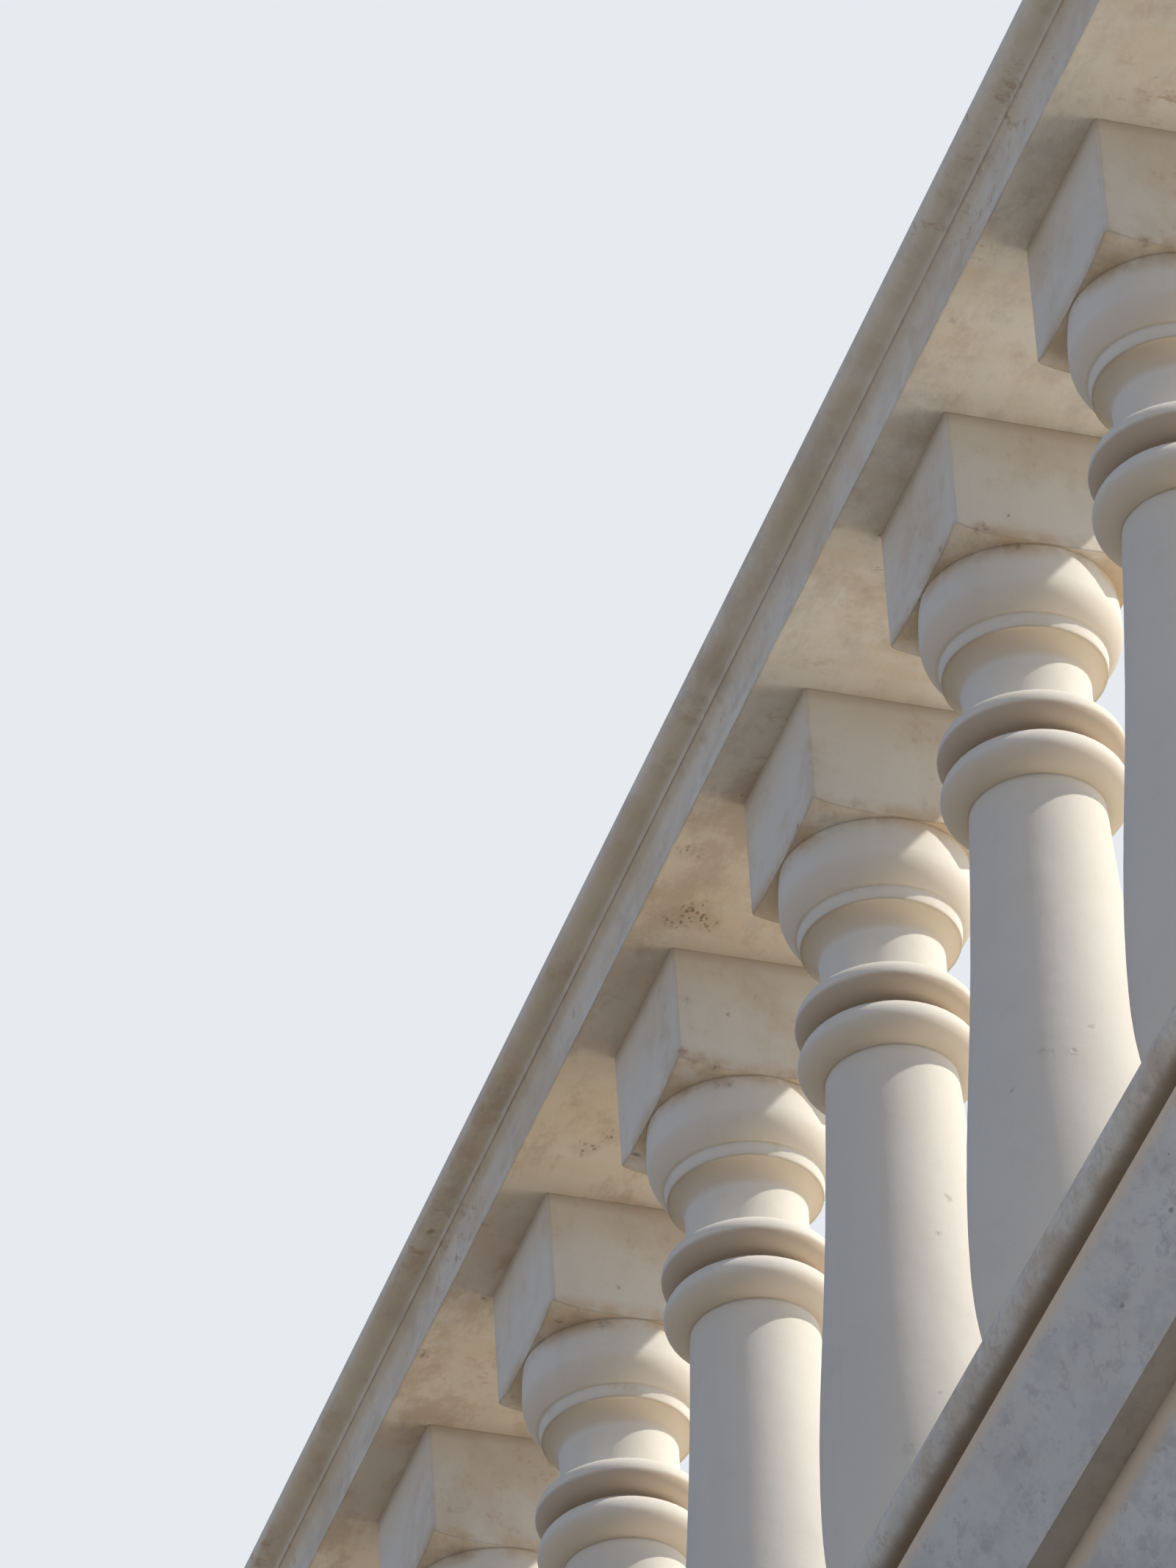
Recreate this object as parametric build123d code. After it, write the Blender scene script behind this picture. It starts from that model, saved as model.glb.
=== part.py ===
from build123d import *
import os

# A straight level run of stone balustrade, in millimetres.
# X runs along the balustrade, -Y is the front, Z is up.
# The origin is at the middle of the base, on the level the base wall stands on.

# Layout of the run: whole bays, with one clear gap beyond each end block
bay_count = 6
clear_gap = 160.0

# Baluster, one piece from top block to plinth block
block_width = 130.0
top_block_height = 98.0
plinth_block_height = 89.0
baluster_height = 950.0
block_chamfer = 2.0
block_corner_rise = 6.0

# Handrail: rounded lip, an upright strip under it, and a hollow running down into the fascia
rail_thickness = 55.0
rail_lip_half_width = 123.0
rail_lip_thickness = 16.0
rail_strip_half_width = 105.5
rail_strip_height = 6.0
rail_strip_fillet = 3.0
rail_strip_step = 1.0
rail_fascia_half_width = 98.0
rail_fascia_height = 18.0

# Coping slab with half-round edges, band course with a set-back seat, and base wall
coping_thickness = 32.0
coping_half_width = 214.0
band_height = 140.0
band_half_width = 204.0
band_seat_height = 9.0
band_seat_inset = 8.0
wall_height = 300.0
wall_half_width = 184.0

# Bays in an end length of each course, from the end baluster's axis, and in a middle length.
# The coping is jointed between two balusters, and each course breaks joint with the next.
coping_end_bay_count = 1.6
coping_bay_count = 2.8
band_end_bay_count = 2.0
band_bay_count = 2.0
wall_end_bay_count = 1.5
wall_bay_count = 3.0
joint_width = 1.0

# Moulding under the top block: a round that turns under, a listel, and a cove into the neck
echinus_radius = 65.5
echinus_height = 48.0
echinus_top_inset = 1.5
echinus_swell_share = 0.54
echinus_foot_radius = 57.0
listel_radius = 55.0
listel_height = 10.0
listel_taper = 1.5
listel_step = 1.0
cove_reach = 9.5
cove_height = 15.0
neck_radius = 42.0

# Collar of two rings with a groove between them
collar_radius = 61.0
collar_upper_height = 26.0
collar_lower_height = 30.0
collar_groove_height = 5.0
collar_groove_radius = 45.0
collar_top_depth = 208.0

# Shaft, widest at the belly; depths are measured down from the rail
shaft_top_radius = 44.0
shaft_top_slope = 0.05
shaft_middle_radius = 56.0
shaft_middle_share = 0.5
belly_radius = 67.5
belly_depth = 620.0
lower_curve_inset = 15.0
lower_curve_rise = 39.0
lower_curve_slope = 0.5
lower_neck_radius = 44.0

# Thin ring, flared foot and torus over the plinth
disc_radius = 59.0
disc_height = 16.0
disc_top_depth = 728.0
foot_neck_radius = 43.0
foot_hollow_inset = 4.0
foot_flare_radius = 57.0
foot_flare_depth = 812.0
foot_step = 2.0
base_torus_radius = 64.0
base_torus_foot_inset = 3.0

bay_pitch = block_width + clear_gap
run_length = bay_count * bay_pitch + block_width + 2.0 * clear_gap
band_bottom = wall_height
coping_bottom = band_bottom + band_height
coping_top = coping_bottom + coping_thickness
rail_bottom = coping_top + baluster_height


def joint_places(end_bays, middle_bays):
    """Where a course is jointed along X, after so many bays at the end and then each time."""
    places = []
    bays = end_bays
    while bays < bay_count:
        places.append((bays - bay_count / 2.0) * bay_pitch)
        bays += middle_bays
    return places


def lay_length(section, level, start, end):
    """Runs a section along X from start to end, standing on a level."""
    plane = Plane(origin=(start, 0, level), x_dir=(0, 1, 0), z_dir=(1, 0, 0))
    return extrude(plane * section, amount=end - start)


def lay_course(section, level, end_bays, middle_bays):
    """Lays a course in lengths, with an open joint between them."""
    places = joint_places(end_bays, middle_bays)
    starts = [-run_length / 2.0] + [place + joint_width / 2.0 for place in places]
    ends = [place - joint_width / 2.0 for place in places] + [run_length / 2.0]
    return [lay_length(section, level, start, end) for start, end in zip(starts, ends)]


def block_section(half_width, height):
    """A plain rectangular course standing on its lower edge."""
    return Pos(0, height / 2.0) * Rectangle(2.0 * half_width, height)


def rail_section():
    """Half of the rail from the soffit up, mirrored about the middle."""
    lip_bottom = rail_thickness - rail_lip_thickness
    lip_radius = rail_lip_thickness / 2.0
    lip_side = rail_lip_half_width - lip_radius
    strip_bottom = lip_bottom - rail_strip_height
    fascia_low = (rail_fascia_half_width, 0)
    fascia_high = (rail_fascia_half_width, rail_fascia_height)
    hollow_high = (rail_strip_half_width - rail_strip_step, strip_bottom)
    strip_low = (rail_strip_half_width, strip_bottom)
    strip_high = (rail_strip_half_width, lip_bottom - rail_strip_fillet)
    fillet_end = (rail_strip_half_width + rail_strip_fillet, lip_bottom)
    lip_low = (lip_side, lip_bottom)
    lip_nose = (rail_lip_half_width, lip_bottom + lip_radius)
    lip_high = (lip_side, rail_thickness)
    outline = Line((0, 0), fascia_low)
    outline += Line(fascia_low, fascia_high)
    outline += TangentArc(fascia_high, hollow_high, tangent=(0, 1))
    outline += Line(hollow_high, strip_low)
    outline += Line(strip_low, strip_high)
    outline += TangentArc(strip_high, fillet_end, tangent=(0, 1))
    outline += Line(fillet_end, lip_low)
    outline += ThreePointArc(lip_low, lip_nose, lip_high)
    outline += Line(lip_high, (0, rail_thickness))
    outline += Line((0, rail_thickness), (0, 0))
    half = make_face(outline)
    return half + mirror(half, about=Plane.YZ)


def coping_section():
    """A slab whose two long edges are half round."""
    radius = coping_thickness / 2.0
    side = coping_half_width - radius
    outline = Line((-side, 0), (side, 0))
    outline += ThreePointArc((side, 0), (coping_half_width, radius), (side, coping_thickness))
    outline += Line((side, coping_thickness), (-side, coping_thickness))
    outline += ThreePointArc((-side, coping_thickness), (-coping_half_width, radius), (-side, 0))
    return make_face(outline)


def band_section():
    """The band's face stops short of the coping, which rests on a narrower seat."""
    face_height = band_height - band_seat_height
    seat = block_section(band_half_width - band_seat_inset, band_seat_height)
    return block_section(band_half_width, face_height) + Pos(0, face_height) * seat


def ring_outline(radius, top, height, inner_above, inner_below):
    """A half-round ring, entered and left along its flat upper and lower sides."""
    flat = radius - height / 2.0
    bottom = top - height
    edges = Line((inner_above, top), (flat, top))
    edges += ThreePointArc((flat, top), (radius, top - height / 2.0), (flat, bottom))
    edges += Line((flat, bottom), (inner_below, bottom))
    return edges


def head_outline(top):
    """The round, the listel, the cove and the neck, down to the collar."""
    echinus_bottom = top - echinus_height
    listel_top = echinus_bottom - listel_step
    listel_bottom = listel_top - listel_height
    widest = (echinus_radius, top - echinus_height * echinus_swell_share)
    echinus_start = (echinus_radius - echinus_top_inset, top)
    echinus_foot = (echinus_foot_radius, echinus_bottom)
    listel_low = (listel_radius - listel_taper, listel_bottom)
    cove_high = (neck_radius + cove_reach, listel_bottom)
    cove_low = (neck_radius, listel_bottom - cove_height)
    edges = Line((0, top), echinus_start)
    edges += TangentArc(widest, echinus_start, tangent=(0, 1))
    edges += TangentArc(widest, echinus_foot, tangent=(0, -1))
    edges += Line(echinus_foot, (listel_radius, listel_top))
    edges += Line((listel_radius, listel_top), listel_low)
    edges += Line(listel_low, cove_high)
    edges += TangentArc(cove_low, cove_high, tangent=(0, 1))
    edges += Line(cove_low, (neck_radius, baluster_height - collar_top_depth))
    return edges


def foot_outline(disc_bottom, low):
    """The flared foot and the torus that sits on the plinth block."""
    flare = baluster_height - foot_flare_depth
    hollow = (foot_neck_radius + foot_hollow_inset, (disc_bottom + flare) / 2.0)
    step_radius = foot_flare_radius + foot_step
    torus_foot = base_torus_radius - base_torus_foot_inset
    edges = ThreePointArc((foot_neck_radius, disc_bottom), hollow, (foot_flare_radius, flare))
    edges += Line((foot_flare_radius, flare), (step_radius, flare))
    torus_side = (base_torus_radius, (flare + low) / 2.0)
    edges += ThreePointArc((step_radius, flare), torus_side, (torus_foot, low))
    edges += Line((torus_foot, low), (0, low))
    return edges


def turned_outline():
    """Outline of the turned part, radius against height over the plinth's foot."""
    top = baluster_height - top_block_height
    low = plinth_block_height
    collar_top = baluster_height - collar_top_depth
    collar_lower_top = collar_top - collar_upper_height - collar_groove_height
    collar_bottom = collar_lower_top - collar_lower_height
    belly = baluster_height - belly_depth
    disc_top = baluster_height - disc_top_depth
    disc_bottom = disc_top - disc_height
    edges = Line((0, low), (0, top))
    edges += head_outline(top)
    groove = collar_groove_radius
    edges += ring_outline(collar_radius, collar_top, collar_upper_height, neck_radius, groove)
    edges += Line((groove, collar_top - collar_upper_height), (groove, collar_lower_top))
    edges += ring_outline(
        collar_radius, collar_lower_top, collar_lower_height, groove, shaft_top_radius
    )
    shaft_middle = (shaft_middle_radius, belly + (collar_bottom - belly) * shaft_middle_share)
    edges += Spline(
        [(shaft_top_radius, collar_bottom), shaft_middle, (belly_radius, belly)],
        tangents=[(shaft_top_slope, -1), (0, -1)],
    )
    lower_curve = (lower_neck_radius + lower_curve_inset, disc_top + lower_curve_rise)
    edges += Spline(
        [(belly_radius, belly), lower_curve, (lower_neck_radius, disc_top)],
        tangents=[(0, -1), (-lower_curve_slope, -1)],
    )
    edges += ring_outline(disc_radius, disc_top, disc_height, lower_neck_radius, foot_neck_radius)
    edges += foot_outline(disc_bottom, low)
    return make_face(edges)


def make_block(height, level):
    """A square block with lightly chamfered upright corners."""
    block = Pos(0, 0, level + height / 2.0) * Box(block_width, block_width, height)
    return chamfer(block.edges().filter_by(Axis.Z), block_chamfer)


def block_limit():
    """What turning leaves of the top block: its underside curves up towards the corners."""
    low = baluster_height - top_block_height
    high = baluster_height + block_corner_rise
    reach = block_width / 2.0**0.5
    start = (echinus_radius - echinus_top_inset, low)
    corner = (reach, low + block_corner_rise)
    outline = Line((0, low), start)
    outline += TangentArc(start, corner, tangent=(1, 0))
    outline += Line(corner, (reach, high))
    outline += Line((reach, high), (0, high))
    outline += Line((0, high), (0, low))
    return revolve(Plane.XZ * make_face(outline), axis=Axis.Z)


def make_baluster():
    """Square block, turned shaft and square plinth as one piece."""
    turned = revolve(Plane.XZ * turned_outline(), axis=Axis.Z)
    block = make_block(top_block_height, baluster_height - top_block_height) & block_limit()
    plinth = make_block(plinth_block_height, 0.0)
    return block + turned + plinth


def write_all():
    """Writes the balusters, the handrail and every length of the three courses under them."""
    os.makedirs("parts", exist_ok=True)
    baluster = make_baluster()
    for number in range(bay_count + 1):
        place = Pos((number - bay_count / 2.0) * bay_pitch, 0, coping_top)
        export_step(place * baluster, f"parts/baluster_{number + 1}.step")
    wall = lay_course(
        block_section(wall_half_width, wall_height), 0.0, wall_end_bay_count, wall_bay_count
    )
    band = lay_course(band_section(), band_bottom, band_end_bay_count, band_bay_count)
    coping = lay_course(coping_section(), coping_bottom, coping_end_bay_count, coping_bay_count)
    rail = lay_length(rail_section(), rail_bottom, -run_length / 2.0, run_length / 2.0)
    export_step(rail, "parts/handrail.step")
    courses = {"base_wall": wall, "band_course": band, "coping": coping}
    for name, solids in courses.items():
        for number, solid in enumerate(solids):
            export_step(solid, f"parts/{name}_{number + 1}.step")


write_all()
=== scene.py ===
import math
import bpy
from mathutils import Matrix, Vector


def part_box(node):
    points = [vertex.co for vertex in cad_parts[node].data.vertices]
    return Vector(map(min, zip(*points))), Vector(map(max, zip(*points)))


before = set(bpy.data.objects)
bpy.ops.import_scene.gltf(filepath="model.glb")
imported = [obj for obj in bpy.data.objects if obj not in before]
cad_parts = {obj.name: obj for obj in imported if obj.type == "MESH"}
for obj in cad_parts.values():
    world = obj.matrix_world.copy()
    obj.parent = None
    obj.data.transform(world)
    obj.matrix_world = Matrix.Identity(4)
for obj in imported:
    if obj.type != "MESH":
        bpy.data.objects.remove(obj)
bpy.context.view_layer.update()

# The camera, solved from the photograph's lines: metres and degrees in the part's frame
CAMERA_PLACE = (5.265, -2.060, -3.043)
CAMERA_HEADING = 109.485
CAMERA_ELEVATION = 38.287
CAMERA_ROLL = 3.567
CAMERA_LENS = 247.8
CAMERA_REACH = 100.0
SENSOR = 36.0

# Levels that the weathering, the painted shade and the painted light follow. Depths are metres
# down from the rail's underside.
RAIL_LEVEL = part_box("handrail")[0].z
COPING_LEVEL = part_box("coping_1")[1].z
COPING_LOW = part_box("coping_1")[0].z
BAND_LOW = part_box("band_course_1")[0].z
BLOCK_DEPTH = 0.098
OVOLO_FOOT_DEPTH = 0.138
LISTEL_DEPTH = 0.150
COVE_DEPTH = 0.164
COLLAR_DEPTH = 0.230
COLLAR_FOOT_DEPTH = 0.263
SHAFT_DEPTH = 0.290
SHAFT_FADE = 0.06
BLOCK_FADE = 0.02
PLINTH_HEIGHT = 0.089
FASCIA_HEIGHT = 0.018

# Light: a key like a high sun behind the run, soft low light on the undersides, and a cool fill.
# Angles are degrees, and softness is the width of the source.
KEY = {
    "azimuth": 62.6, "elevation": 48.0, "strength": 3.75, "softness": 1.5,
    "colour": (1.0, 0.94, 0.83),
}
SIDE = {
    "azimuth": 32.0, "elevation": 9.0, "strength": 0.52, "softness": 50.0,
    "colour": (1.0, 0.93, 0.81),
}
FRONT = {
    "azimuth": -78.0, "elevation": 5.0, "strength": 0.42, "softness": 60.0,
    "colour": (0.88, 0.94, 1.0),
}
FILL_COLOUR = (0.19, 0.235, 0.345, 1)
PANEL_PLACE = (0.45, 1.5, 0.52)
PANEL_SIZE = (3.2, 0.95)
PANEL_POWER = 6.0
PANEL_SPREAD = 60.0
PANEL_COLOUR = (1.0, 0.90, 0.74)
PANEL_FACES = (0.45, 0.0, 1.42)
FLOOR_RADIUS = 14.0
FLOOR_SIDES = 96
FLOOR_DROP = 0.0005
FLOOR_ROUGHNESS = 0.9
FLOOR_COLOUR = (0.30, 0.285, 0.26, 1)
BACKGROUND = (0.80, 0.83, 0.87, 1)

# Colours, linear
CREAM = (0.74, 0.71, 0.65, 1)
PALE = (0.80, 0.775, 0.72, 1)
BEIGE = (0.66, 0.59, 0.49, 1)
GREY = (0.56, 0.54, 0.515, 1)
SLATE = (0.41, 0.38, 0.355, 1)
TAN = (0.60, 0.47, 0.32, 1)
CLAY = (0.45, 0.34, 0.24, 1)
RUST = (0.36, 0.20, 0.11, 1)
# Painted warm light, for the strip under each joint
PAINTED_WARM_LIGHT = (0.86, 0.70, 0.52, 1)
BROWN = (0.27, 0.19, 0.12, 1)
DARK = (0.085, 0.065, 0.050, 1)

# What every stone shares: how far its texture moves per step of the seed, its gloss, how much
# its roughness varies, and the turn of the surface over which an arris counts as worn
SEED_SHIFT = (3.7, 1.9, 5.3)
SPECULAR = 0.25
ROUGHNESS_RANGE = 0.14
ARRIS_FLAT = 0.99
ARRIS_TURNED = 0.90

# Stretches of the texture: the bedding of the honed slabs, with its slope along the run in
# degrees, the upright drawing of the balusters' streaks and larger pits, the streaks across the
# rail, and what is drawn out along it
BEDDING_SLOPE = 40.0
BEDDING_STRETCH = (2.6, 1, 1)
UPRIGHT_STREAKS = (1, 1, 0.06)
UPRIGHT_PITS = (1, 1, 0.6)
ACROSS_STREAKS = (1, 0.16, 1)
ACROSS_FRECKLES = (1, 0.5, 1)
ALONG_PATCHES = (0.7, 1, 1)
ALONG_DIRT = (0.6, 1, 1)

# How far the turned part's own normals keep clear of the blocks, in metres
TURNED_MARGIN = 0.0004

# Chips: how far their edges wander, in metres; the largest radius that stays one whole mark, in
# millimetres; and the outside and inside of a mark's soft edge and its depth, in shares of its
# radius
WANDER = 0.004
SPECK_RADIUS = 3.0
MILLIMETRE = 0.001
CHIP_OUTSIDE = 1.4
CHIP_INSIDE = 0.4
CHIP_SINK = 0.06

# Chips and stains that the photograph shows, piece by piece. Each is the colour, where it
# lies along, across and down from the rail's underside, and its radius, in millimetres.
CHIPS = {
    "baluster_6": [(BROWN, 645, -40, 97, 5), (BROWN, 644, -24, 98, 4)],
    "baluster_5": [
        (RUST, 355, -48, 95, 6), (RUST, 355, -41, 96, 4), (BROWN, 349, -28, 98, 4),
        (BROWN, 350, -21, 100, 3), (BROWN, 327, -65, 93, 3), (BROWN, 315, -65, 97, 4),
        (BROWN, 276, -65, 98, 6), (RUST, 245, -57, 97, 6), (DARK, 355, -27, 79, 1.5),
        (GREY, 342, -32, 498, 5), (GREY, 349, -18, 501, 4), (SLATE, 349, -3, 479, 2),
        (SLATE, 328, -50, 521, 2),
    ],
    "baluster_4": [
        (BROWN, 51, -52, 97, 4), (BROWN, 34, -65, 94, 3), (BROWN, 65, -34, 91, 4),
        (SLATE, 51, 12, 395, 3), (SLATE, 55, 1, 428, 2.5), (SLATE, 59, -32, 604, 5),
        (SLATE, 65, -10, 561, 1.5),
    ],
    "baluster_3": [
        (RUST, -225, -55, 95, 6), (BROWN, -232, -46, 97, 4), (BROWN, -227, -41, 97, 5),
        (BROWN, -235, -36, 103, 4), (BROWN, -232, -28, 105, 4), (RUST, -225, -61, 88, 3),
        (BROWN, -225, -48, 90, 4), (RUST, -272, -65, 98, 5), (DARK, -333, -61, 97, 3),
        (BROWN, -225, -27, 51, 1.7), (SLATE, -225, -55, 44, 4),
    ],
    "baluster_2": [
        (BROWN, -531, -55, 97, 4), (BROWN, -523, -42, 98, 7), (BROWN, -520, -26, 103, 5),
        (DARK, -515, -16, 74, 2), (RUST, -630, -55, 97, 7),
    ],
    "handrail": [
        (DARK, 227, -68, 0, 5), (BROWN, 229, -96, 0, 4), (DARK, -645, -68, 0, 6),
        (DARK, -722, -94, 0, 6), (DARK, -629, -113, -39, 3), (SLATE, -339, -98, -21, 3),
        (SLATE, 440, -89, 0, 3), (BROWN, -193, -69, 0, 12), (RUST, -194, -50, 0, 10),
        (RUST, -182, -60, 0, 11), (BROWN, -123, -86, 0, 9), (BROWN, -459, -54, 0, 10),
        (RUST, -441, -38, 0, 10),
    ],
}

# Sockets of the mix node, whose names repeat
MIX_FACTOR = 0
COLOUR_A, COLOUR_B, COLOUR_MIXED = 6, 7, 2
VECTOR_A, VECTOR_B, VECTOR_MIXED = 4, 5, 1


class Stone:
    """A node-built stone material. Each method adds one kind of mark to its colour or relief."""

    def __init__(self, name, seed):
        self.material = bpy.data.materials.new(name)
        self.material.use_nodes = True
        self.nodes = self.material.node_tree.nodes
        self.links = self.material.node_tree.links
        self.shader = self.nodes["Principled BSDF"]
        self.seed = seed
        self.place = self.add("ShaderNodeTexCoord").outputs["Object"]
        self.normal = self.add("ShaderNodeNewGeometry").outputs["Normal"]
        self.grain = self.place
        self.colour = None
        self.height = None
        self.centre = None

    def add(self, kind, **settings):
        node = self.nodes.new(kind)
        for name, value in settings.items():
            setattr(node, name, value)
        return node

    def fill(self, socket, value):
        """Links a socket to another one, or sets it to a plain value."""
        if isinstance(value, bpy.types.NodeSocket):
            self.links.new(value, socket)
        else:
            socket.default_value = value

    def math(self, operation, a, b=0.0, clamp=False):
        node = self.add("ShaderNodeMath", operation=operation, use_clamp=clamp)
        self.fill(node.inputs[0], a)
        self.fill(node.inputs[1], b)
        return node.outputs[0]

    def both(self, a, b):
        return self.math("MULTIPLY", a, b)

    def vector(self, operation, *values):
        """A vector operation on sockets or plain vectors."""
        node = self.add("ShaderNodeVectorMath", operation=operation)
        for socket, value in zip(node.inputs, values):
            self.fill(socket, value)
        return node

    def axis(self, vector, name):
        split = self.add("ShaderNodeSeparateXYZ")
        self.links.new(vector, split.inputs[0])
        return split.outputs[name]

    def bedded(self, slope, stretch):
        """Draws all the clouds and grain out along a slope in the wall's face."""
        node = self.add("ShaderNodeMapping", vector_type="TEXTURE")
        self.links.new(self.place, node.inputs["Vector"])
        node.inputs["Rotation"].default_value = (0, math.radians(slope), 0)
        node.inputs["Scale"].default_value = stretch
        self.grain = node.outputs[0]

    def shifted(self, stretch):
        """The coordinates of the grain, moved by the material's seed and stretched."""
        node = self.add("ShaderNodeMapping")
        self.links.new(self.grain, node.inputs["Vector"])
        node.inputs["Location"].default_value = [self.seed * step for step in SEED_SHIFT]
        node.inputs["Scale"].default_value = stretch
        return node.outputs[0]

    def noise(self, scale, detail, rough=0.55, stretch=(1, 1, 1), output="Fac"):
        node = self.add("ShaderNodeTexNoise")
        self.links.new(self.shifted(stretch), node.inputs["Vector"])
        node.inputs["Scale"].default_value = scale
        node.inputs["Detail"].default_value = detail
        node.inputs["Roughness"].default_value = rough
        return node.outputs[output]

    def cells(self, scale, stretch=(1, 1, 1)):
        """The distance from the middle of each cell, and the cell's own random colour."""
        node = self.add("ShaderNodeTexVoronoi")
        self.links.new(self.shifted(stretch), node.inputs["Vector"])
        node.inputs["Scale"].default_value = scale
        return node.outputs["Distance"], node.outputs["Color"]

    def step(self, value, low, high):
        """0 at low, 1 at high, smooth between; low may be the larger."""
        node = self.add("ShaderNodeMapRange", interpolation_type="SMOOTHSTEP")
        self.fill(node.inputs["Value"], value)
        node.inputs["From Min"].default_value = low
        node.inputs["From Max"].default_value = high
        return node.outputs["Result"]

    def patches(self, low, high, **look):
        """Patches of noise: bare where it is under low, full where it is over high."""
        return self.step(self.noise(**look), low, high)

    def level(self):
        """The height over the part's base."""
        return self.axis(self.place, "Z")

    def level_band(self, level, reach):
        """1 at a height in the part's frame, falling to 0 at reach above and below it."""
        away = self.math("ABSOLUTE", self.math("SUBTRACT", self.level(), level))
        return self.step(away, low=reach, high=0.0)

    def tint(self, amount, colour, strength):
        """Mixes a colour in where amount is high."""
        node = self.add("ShaderNodeMix", data_type="RGBA")
        share = self.math("MULTIPLY", amount, strength, clamp=True)
        self.fill(node.inputs[MIX_FACTOR], share)
        self.fill(node.inputs[COLOUR_A], CREAM if self.colour is None else self.colour)
        self.fill(node.inputs[COLOUR_B], colour)
        self.colour = node.outputs[COLOUR_MIXED]

    def relief(self, value, depth):
        """Adds value, times a depth in metres, to the surface's height."""
        part = self.math("MULTIPLY", value, depth)
        self.height = part if self.height is None else self.math("ADD", self.height, part)

    def body(self, cloud=1.0, rough=1.0):
        """The stone's own colour: broad clouds, smaller patches and a fine grain."""
        clouds = self.patches(low=0.35, high=0.70, scale=4.0, detail=3.0)
        blotches = self.patches(low=0.50, high=0.75, scale=13.0, detail=5.0, rough=0.62)
        spots = self.patches(low=0.53, high=0.74, scale=30.0, detail=5.0, rough=0.68)
        sand = self.patches(low=0.58, high=0.72, scale=380.0, detail=2.0)
        self.tint(clouds, PALE, strength=0.70 * cloud)
        self.tint(blotches, BEIGE, strength=0.34 * cloud)
        self.tint(spots, GREY, strength=0.26 * cloud)
        self.tint(sand, BEIGE, strength=0.16)
        self.relief(self.noise(scale=16.0, detail=2.0, rough=0.5), depth=0.0016 * rough)
        self.relief(self.noise(scale=70.0, detail=3.0, rough=0.6), depth=0.00035 * rough)
        self.relief(self.noise(scale=420.0, detail=2.0, rough=0.6), depth=0.00007 * rough)

    def pits(self, scale, size, share, colour=SLATE, depth=0.0008, stretch=(1, 1, 1),
             strength=0.8):
        """Small dark holes, in only a share of the cells."""
        distance, pick = self.cells(scale, stretch)
        chosen = self.step(self.axis(pick, "X"), low=1.0 - share, high=1.01 - share)
        torn = self.noise(scale=scale * 7.0, detail=2.0, rough=0.7)
        away = self.math("ADD", distance, self.math("MULTIPLY", torn, size * 1.2))
        hole = self.both(self.step(away, low=size * 1.6, high=size * 0.8), chosen)
        self.tint(hole, colour, strength)
        self.relief(hole, -depth)

    def freckles(self, scale, patch_scale, share, colour, strength, stretch=(1, 1, 1)):
        """Fine specks that keep to broad patches."""
        where = self.patches(
            low=1.0 - share, high=1.12 - share, scale=patch_scale, detail=3.0, rough=0.5
        )
        specks = self.patches(
            low=0.53, high=0.66, scale=scale, detail=4.0, rough=0.75, stretch=stretch
        )
        self.tint(self.both(where, specks), colour, strength)

    def streaks(self, stretch, low, high, colour, strength):
        """Soft drawn-out marks along one direction."""
        marks = self.patches(low, high, scale=30.0, detail=5.0, rough=0.6, stretch=stretch)
        self.tint(marks, colour, strength)

    def stain(self, level, reach, colour, strength, **look):
        """Broken stains round one height."""
        patch = self.patches(detail=6.0, rough=0.70, **look)
        self.tint(self.both(self.level_band(level, reach), patch), colour, strength)

    def undersides(self, strength, colour=TAN):
        """Faces that look down are tinted: painted shade, with some weathering."""
        down = self.step(self.axis(self.normal, "Z"), low=-0.10, high=-0.80)
        patch = self.math("MULTIPLY", self.noise(scale=14.0, detail=5.0, rough=0.6), 0.7)
        self.tint(self.both(down, self.math("ADD", 0.60, patch)), colour, strength)

    def painted_underside_shade(self, depth, reach, colour, strength):
        """Painted shade: a band that keeps to the faces looking down, round one depth under the
        rail.
        """
        down = self.step(self.axis(self.normal, "Z"), low=0.05, high=-0.30)
        level = RAIL_LEVEL - depth
        away = self.math("ABSOLUTE", self.math("SUBTRACT", self.level(), level))
        near = self.step(away, low=reach, high=reach * 0.55)
        self.tint(self.both(down, near), colour, strength)

    def crevice_shade_and_dirt(self, reach, strength, colour=TAN):
        """Painted shade in the inner corners, where occlusion is deep, with some dirt."""
        near = self.add("ShaderNodeAmbientOcclusion", samples=2)
        near.inputs["Distance"].default_value = reach
        deep = self.step(near.outputs["AO"], low=0.70, high=0.25)
        patch = self.patches(low=0.20, high=0.65, scale=38.0, detail=4.0, rough=0.6)
        self.tint(self.both(deep, patch), colour, strength)

    def chips(self, piece):
        """The piece's own chips and stains: clusters of specks with ragged edges, a bit sunk."""
        if piece not in CHIPS:
            return
        drift = self.noise(scale=150.0, detail=2.0, rough=0.75, output="Color")
        wander = self.vector("MULTIPLY_ADD", drift, [WANDER * 2] * 3, self.place).outputs[0]
        uneven = self.math("MULTIPLY", self.noise(scale=110.0, detail=2.0, rough=0.8), 1.3)
        dots = self.math("ADD", self.cells(scale=210.0)[0], uneven)
        specks = self.step(dots, low=1.10, high=0.72)
        for colour, along, across, down, radius in CHIPS[piece]:
            middle = Vector((along, across, -down)) * MILLIMETRE + Vector((0, 0, RAIL_LEVEL))
            away = self.vector("DISTANCE", wander, middle + Vector([WANDER] * 3))
            size = radius * MILLIMETRE
            mark = self.step(
                away.outputs["Value"], low=size * CHIP_OUTSIDE, high=size * CHIP_INSIDE
            )
            if radius > SPECK_RADIUS:
                self.tint(mark, colour, strength=0.20)
                mark = self.both(mark, specks)
            self.tint(mark, colour, strength=0.50)
            self.relief(mark, -size * CHIP_SINK)

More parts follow.
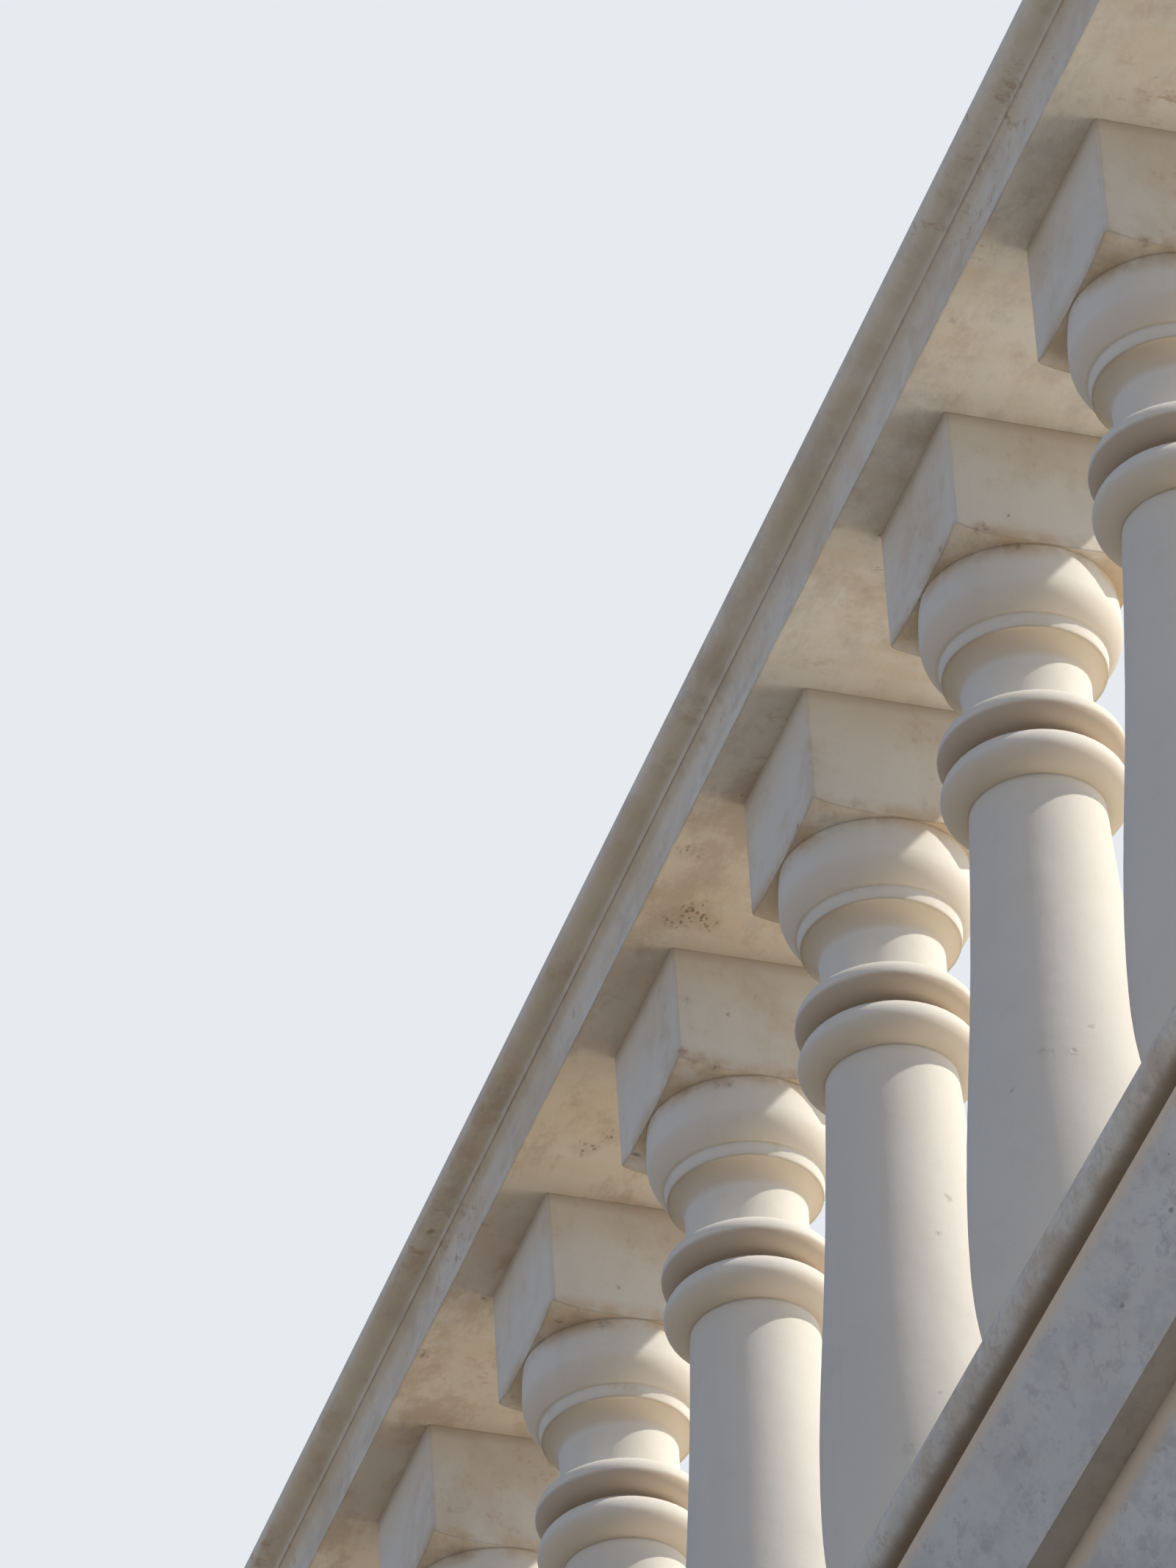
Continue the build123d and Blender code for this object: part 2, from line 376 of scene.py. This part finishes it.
    def worn_arrises(self, arris):
        """Rounds the arrises in the normal, and rubs them pale in places."""
        bevel = self.add("ShaderNodeBevel", samples=2)
        bevel.inputs["Radius"].default_value = arris
        worn = bevel.outputs["Normal"]
        turn = self.vector("DOT_PRODUCT", worn, self.normal).outputs["Value"]
        rubbed = self.patches(low=0.42, high=0.60, scale=34.0, detail=3.0, rough=0.65)
        edge = self.step(turn, low=ARRIS_FLAT, high=ARRIS_TURNED)
        self.tint(self.both(edge, rubbed), PALE, strength=0.55)
        return worn

    def turned(self, normal):
        """On a baluster's turned part, points the normal straight out from the axis."""
        out = self.vector("MULTIPLY_ADD", self.place, (1, 1, 0), (-self.centre, 0, 0))
        unit = self.vector("NORMALIZE", out.outputs[0])
        rise = self.axis(normal, "Z")
        square = self.math("MULTIPLY", rise, rise)
        flat = self.math("SQRT", self.math("SUBTRACT", 1.0, square, clamp=True))
        sideways = self.vector("SCALE", unit.outputs[0])
        self.links.new(flat, sideways.inputs["Scale"])
        upward = self.add("ShaderNodeCombineXYZ")
        self.links.new(rise, upward.inputs["Z"])
        whole = self.vector("ADD", sideways.outputs[0], upward.outputs[0])
        highest = RAIL_LEVEL - BLOCK_DEPTH - TURNED_MARGIN
        lowest = COPING_LEVEL + PLINTH_HEIGHT + TURNED_MARGIN
        below_block = self.math("LESS_THAN", self.level(), highest)
        above_plinth = self.math("GREATER_THAN", self.level(), lowest)
        mix = self.add("ShaderNodeMix", data_type="VECTOR")
        self.links.new(self.both(below_block, above_plinth), mix.inputs[MIX_FACTOR])
        self.links.new(normal, mix.inputs[VECTOR_A])
        self.links.new(whole.outputs[0], mix.inputs[VECTOR_B])
        return mix.outputs[VECTOR_MIXED]

    def finish(self, rough, arris=0.0025):
        """Links the colour, the roughness and the relief to the shader."""
        worn = self.worn_arrises(arris)
        smooth = worn if self.centre is None else self.turned(worn)
        self.links.new(self.colour, self.shader.inputs["Base Color"])
        uneven = self.math("MULTIPLY", self.noise(scale=60.0, detail=2.0), ROUGHNESS_RANGE)
        roughness = self.math("ADD", rough - ROUGHNESS_RANGE / 2, uneven)
        self.links.new(roughness, self.shader.inputs["Roughness"])
        self.shader.inputs["Specular IOR Level"].default_value = SPECULAR
        bump = self.add("ShaderNodeBump")
        bump.inputs["Strength"].default_value = 1.0
        bump.inputs["Distance"].default_value = 1.0
        self.links.new(self.height, bump.inputs["Height"])
        self.links.new(smooth, bump.inputs["Normal"])
        self.links.new(bump.outputs["Normal"], self.shader.inputs["Normal"])
        return self.material


def weather_and_shade_block(stone):
    """Tan clouds with rust in them on the top block; darker beige and clay towards its head,
    painted shade under the rail with some dirt in the joint; and tan and clay bands along its
    foot.
    """
    foot = RAIL_LEVEL - BLOCK_DEPTH
    block = stone.step(stone.level(), low=foot - BLOCK_FADE, high=foot)
    cloud = stone.patches(low=0.44, high=0.66, scale=11.0, detail=6.0, rough=0.68)
    fleck = stone.patches(low=0.54, high=0.68, scale=120.0, detail=5.0, rough=0.75)
    clouded = stone.both(block, cloud)
    stone.tint(clouded, TAN, strength=0.46)
    stone.tint(stone.both(clouded, fleck), RUST, strength=0.36)
    # Painted shade: darker beige and clay towards the rail's underside, with some dirt in the
    # joint
    stone.tint(stone.level_band(RAIL_LEVEL, reach=0.055), BEIGE, strength=0.45)
    stone.tint(stone.level_band(RAIL_LEVEL, reach=0.012), CLAY, strength=0.45)
    stone.stain(foot, reach=0.016, scale=22.0, low=0.34, high=0.62, colour=TAN, strength=0.90)
    stone.stain(foot, reach=0.010, scale=34.0, low=0.46, high=0.68, colour=CLAY, strength=0.55)


def baluster_stone(piece, seed):
    """Smooth cast stone: faint upright streaks, painted shade in tan on the undersides and in the
    hollows, and brown specks on the block.
    """
    stone = Stone(f"{piece}_stone", seed)
    low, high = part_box(piece)
    stone.centre = (low.x + high.x) / 2
    stone.body(cloud=0.70, rough=0.5)
    shaft_top = RAIL_LEVEL - SHAFT_DEPTH
    shaft = stone.step(stone.level(), low=shaft_top + SHAFT_FADE, high=shaft_top)
    stone.tint(shaft, GREY, strength=0.22)
    stone.streaks(UPRIGHT_STREAKS, low=0.48, high=0.70, colour=GREY, strength=0.12)
    # Painted shade on the faces that look down, with some weathering
    stone.undersides(strength=0.30)
    # Painted shade in bands on the undersides of the ovolo's foot, the cove and the collar's
    # rings
    stone.painted_underside_shade(OVOLO_FOOT_DEPTH, reach=0.014, colour=TAN, strength=0.20)
    stone.painted_underside_shade(COVE_DEPTH, reach=0.012, colour=TAN, strength=0.55)
    stone.painted_underside_shade(COLLAR_DEPTH, reach=0.013, colour=CLAY, strength=0.75)
    stone.painted_underside_shade(COLLAR_FOOT_DEPTH, reach=0.012, colour=TAN, strength=0.35)
    weather_and_shade_block(stone)
    stone.stain(
        RAIL_LEVEL - LISTEL_DEPTH, reach=0.007, scale=40.0, low=0.52, high=0.68, colour=TAN,
        strength=0.40,
    )
    stone.stain(
        COPING_LEVEL, reach=0.016, scale=30.0, low=0.40, high=0.65, colour=BROWN, strength=0.42
    )
    stone.freckles(scale=150.0, patch_scale=9.0, share=0.36, colour=TAN, strength=0.22)
    stone.pits(scale=60.0, size=0.045, share=0.018)
    stone.pits(scale=24.0, size=0.022, share=0.05, stretch=UPRIGHT_PITS, strength=0.7)
    # Painted shade in the inner corners, with some dirt
    stone.crevice_shade_and_dirt(reach=0.008, strength=0.18)
    stone.chips(piece)
    return stone.finish(rough=0.76)


def weather_soffit(stone):
    """Tan and clay patches on the rail's underside, most of them towards its -X end, which is tan
    all over.
    """
    minus_x_end = stone.step(stone.axis(stone.place, "X"), low=0.14, high=-0.18)
    soffit = stone.step(stone.axis(stone.normal, "Z"), low=-0.30, high=-0.80)
    patch = stone.patches(
        low=0.48, high=0.64, scale=15.0, detail=7.0, rough=0.74, stretch=ALONG_PATCHES
    )
    patched = stone.both(patch, soffit)
    stone.tint(stone.both(minus_x_end, soffit), TAN, strength=0.44)
    stone.tint(patched, CLAY, strength=0.36)
    stone.tint(stone.both(patched, minus_x_end), CLAY, strength=0.42)


def weather_fascia(stone):
    """Dirt on the mouldings of the rail's edge, over and along the fascia."""
    edge = stone.step(
        stone.level(), low=RAIL_LEVEL + FASCIA_HEIGHT * 0.5, high=RAIL_LEVEL + FASCIA_HEIGHT
    )
    dirt = stone.patches(
        low=0.30, high=0.62, scale=16.0, detail=6.0, rough=0.7, stretch=ALONG_DIRT
    )
    stone.tint(stone.both(edge, dirt), BEIGE, strength=0.16)
    stone.stain(
        RAIL_LEVEL + FASCIA_HEIGHT * 1.7, reach=0.005, scale=24.0, low=0.20, high=0.62,
        colour=TAN, strength=0.30,
    )
    stone.stain(
        RAIL_LEVEL + FASCIA_HEIGHT * 0.7, reach=0.009, scale=20.0, low=0.40, high=0.66,
        colour=TAN, strength=0.30,
    )


def rail_stone(piece, seed):
    """Rough cast stone: a freckled beige soffit, and dirt along the mouldings of the edge."""
    stone = Stone(f"{piece}_stone", seed)
    stone.body(cloud=1.15)
    # Painted shade in beige on the faces that look down, with some weathering
    stone.undersides(strength=0.32, colour=BEIGE)
    stone.streaks(ACROSS_STREAKS, low=0.48, high=0.68, colour=TAN, strength=0.30)
    tan = stone.patches(low=0.46, high=0.64, scale=9.0, detail=5.0, rough=0.65)
    slate = stone.patches(
        low=0.48, high=0.66, scale=20.0, detail=6.0, rough=0.72, stretch=ALONG_DIRT
    )
    stone.tint(tan, TAN, strength=0.32)
    stone.tint(slate, SLATE, strength=0.34)
    weather_soffit(stone)
    stone.freckles(
        scale=95.0, patch_scale=7.0, share=0.50, colour=RUST, strength=0.50,
        stretch=ACROSS_FRECKLES,
    )
    stone.freckles(scale=40.0, patch_scale=10.0, share=0.50, colour=GREY, strength=0.40)
    weather_fascia(stone)
    stone.pits(scale=52.0, size=0.050, share=0.04, depth=0.0010)
    # Painted shade in the inner corners, in clay, with some dirt
    stone.crevice_shade_and_dirt(reach=0.028, strength=0.28, colour=CLAY)
    stone.chips(piece)
    return stone.finish(rough=0.80)


def coping_stone(piece, seed):
    """Weathered slab: grey and brown mottling all over, painted light on the lower part of its
    nose, and a brown line along its foot.
    """
    stone = Stone(f"{piece}_stone", seed)
    stone.body(cloud=1.1)
    # Painted light: the lower part of the nose is made paler, standing in for light from below
    stone.tint(stone.level_band(COPING_LOW + 0.010, reach=0.018), PALE, strength=0.90)
    brown = stone.patches(low=0.46, high=0.64, scale=42.0, detail=6.0, rough=0.74)
    grey = stone.patches(low=0.46, high=0.66, scale=17.0, detail=5.0, rough=0.7)
    tan = stone.patches(low=0.46, high=0.60, scale=20.0, detail=5.0, rough=0.7)
    stone.tint(brown, BROWN, strength=0.24)
    stone.tint(grey, GREY, strength=0.30)
    stone.tint(tan, TAN, strength=0.40)
    stone.freckles(scale=120.0, patch_scale=12.0, share=0.66, colour=SLATE, strength=0.34)
    stone.pits(scale=80.0, size=0.070, share=0.10)
    stone.tint(stone.level_band(COPING_LOW, reach=0.0055), BROWN, strength=0.75)
    return stone.finish(rough=0.82, arris=0.0015)


def honed_stone(piece, seed):
    """Honed slabs: cloudy grey and beige, small dark pits, and a strip of painted warm light
    under each joint.
    """
    stone = Stone(f"{piece}_stone", seed)
    stone.bedded(BEDDING_SLOPE, BEDDING_STRETCH)
    stone.body(cloud=0.8)
    below_band = stone.math("LESS_THAN", stone.level(), BAND_LOW)
    beige = stone.patches(low=0.44, high=0.66, scale=14.0, detail=5.0, rough=0.70)
    grey = stone.patches(low=0.47, high=0.60, scale=34.0, detail=6.0, rough=0.74)
    slate = stone.patches(low=0.53, high=0.63, scale=75.0, detail=5.0, rough=0.78)
    stone.tint(below_band, PALE, strength=0.80)
    stone.tint(beige, BEIGE, strength=0.30)
    stone.tint(grey, GREY, strength=0.46)
    stone.tint(slate, SLATE, strength=0.36)
    stone.pits(scale=44.0, size=0.110, share=0.12, colour=DARK, depth=0.0005, strength=0.55)
    stone.pits(scale=110.0, size=0.080, share=0.05, colour=BROWN, depth=0.0004)
    # Painted light: a warm pale strip under each joint
    for joint in (COPING_LOW, BAND_LOW):
        stone.tint(stone.level_band(joint - 0.010, reach=0.017), PAINTED_WARM_LIGHT, strength=0.90)
    # Painted shade in brown on the faces that look down, with some weathering
    stone.undersides(strength=0.10, colour=BROWN)
    # Painted shade in the inner corners, with some dirt
    stone.crevice_shade_and_dirt(reach=0.012, strength=0.30)
    return stone.finish(rough=0.60, arris=0.0015)


MAKERS = {
    "baluster": baluster_stone,
    "handrail": rail_stone,
    "coping": coping_stone,
    "band_course": honed_stone,
    "base_wall": honed_stone,
}
FIRST_SEED = 11


def dress_nodes():
    """Gives every node its own stone, so that no two pieces carry the same marks."""
    for seed, (name, piece) in enumerate(sorted(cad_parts.items()), FIRST_SEED):
        kind = name.rstrip("0123456789").rstrip("_")
        piece.data.materials.clear()
        piece.data.materials.append(MAKERS[kind](name, seed))


def add_floor():
    """A pale round floor, seen from above only, so that a camera under it looks past it."""
    bpy.ops.mesh.primitive_circle_add(
        vertices=FLOOR_SIDES, radius=FLOOR_RADIUS, fill_type="NGON", location=(0, 0, -FLOOR_DROP)
    )
    floor = bpy.context.object
    floor.name = "floor"
    material = bpy.data.materials.new("floor_pale")
    material.use_nodes = True
    nodes = material.node_tree.nodes
    links = material.node_tree.links
    shader = nodes["Principled BSDF"]
    shader.inputs["Base Color"].default_value = FLOOR_COLOUR
    shader.inputs["Roughness"].default_value = FLOOR_ROUGHNESS
    clear = nodes.new("ShaderNodeBsdfTransparent")
    side = nodes.new("ShaderNodeNewGeometry")
    mix = nodes.new("ShaderNodeMixShader")
    links.new(side.outputs["Backfacing"], mix.inputs[0])
    links.new(shader.outputs[0], mix.inputs[1])
    links.new(clear.outputs[0], mix.inputs[2])
    links.new(mix.outputs[0], nodes["Material Output"].inputs["Surface"])
    floor.data.materials.append(material)


def add_sun(name, azimuth, elevation, strength, softness, colour):
    """Parallel light from one side."""
    light = bpy.data.lights.new(name, "SUN")
    light.energy = strength
    light.angle = math.radians(softness)
    light.color = colour
    sun = bpy.data.objects.new(name, light)
    side = math.radians(azimuth)
    rise = math.radians(elevation)
    flat = math.cos(rise)
    towards = Vector((flat * math.cos(side), flat * math.sin(side), math.sin(rise)))
    sun.rotation_euler = towards.to_track_quat("Z", "Y").to_euler()
    bpy.context.collection.objects.link(sun)


def add_panel():
    """A long low panel behind the run, which lights the undersides and isn't seen itself."""
    light = bpy.data.lights.new("panel", "AREA")
    light.shape = "RECTANGLE"
    light.size, light.size_y = PANEL_SIZE
    light.energy = PANEL_POWER
    light.spread = math.radians(PANEL_SPREAD)
    light.color = PANEL_COLOUR
    panel = bpy.data.objects.new("panel", light)
    panel.location = PANEL_PLACE
    towards = Vector(PANEL_FACES) - Vector(PANEL_PLACE)
    panel.rotation_euler = towards.to_track_quat("-Z", "Y").to_euler()
    panel.visible_camera = False
    bpy.context.collection.objects.link(panel)


def add_world():
    """A cool even fill. The camera itself sees a plain pale background."""
    world = bpy.data.worlds.new("studio")
    world.use_nodes = True
    bpy.context.scene.world = world
    nodes = world.node_tree.nodes
    links = world.node_tree.links
    fill = nodes["Background"]
    fill.inputs["Color"].default_value = FILL_COLOUR
    back = nodes.new("ShaderNodeBackground")
    back.inputs["Color"].default_value = BACKGROUND
    rays = nodes.new("ShaderNodeLightPath")
    mix = nodes.new("ShaderNodeMixShader")
    links.new(rays.outputs["Is Camera Ray"], mix.inputs[0])
    links.new(fill.outputs[0], mix.inputs[1])
    links.new(back.outputs[0], mix.inputs[2])
    links.new(mix.outputs[0], nodes["World Output"].inputs["Surface"])


def add_camera():
    """Looks along the heading and up, with a slight roll, as the photograph does."""
    heading = math.radians(CAMERA_HEADING)
    elevation = math.radians(CAMERA_ELEVATION)
    roll = math.radians(CAMERA_ROLL)
    flat = math.cos(elevation)
    ahead = Vector((-flat * math.sin(heading), -flat * math.cos(heading), math.sin(elevation)))
    level_right = Vector((-math.cos(heading), math.sin(heading), 0.0))
    level_down = ahead.cross(level_right)
    right = level_right * math.cos(roll) + level_down * math.sin(roll)
    down = ahead.cross(right)
    turn = Matrix((right, -down, -ahead)).transposed().to_4x4()
    lens = bpy.data.cameras.new("camera")
    lens.sensor_fit = "AUTO"
    lens.sensor_width = SENSOR
    lens.lens = CAMERA_LENS
    lens.clip_end = CAMERA_REACH
    camera = bpy.data.objects.new("camera", lens)
    camera.matrix_world = Matrix.Translation(CAMERA_PLACE) @ turn
    bpy.context.collection.objects.link(camera)
    bpy.context.scene.camera = camera


dress_nodes()
add_floor()
add_sun("key", **KEY)
add_sun("side", **SIDE)
add_sun("front", **FRONT)
add_panel()
add_world()
add_camera()
bpy.context.scene.view_settings.view_transform = "Standard"
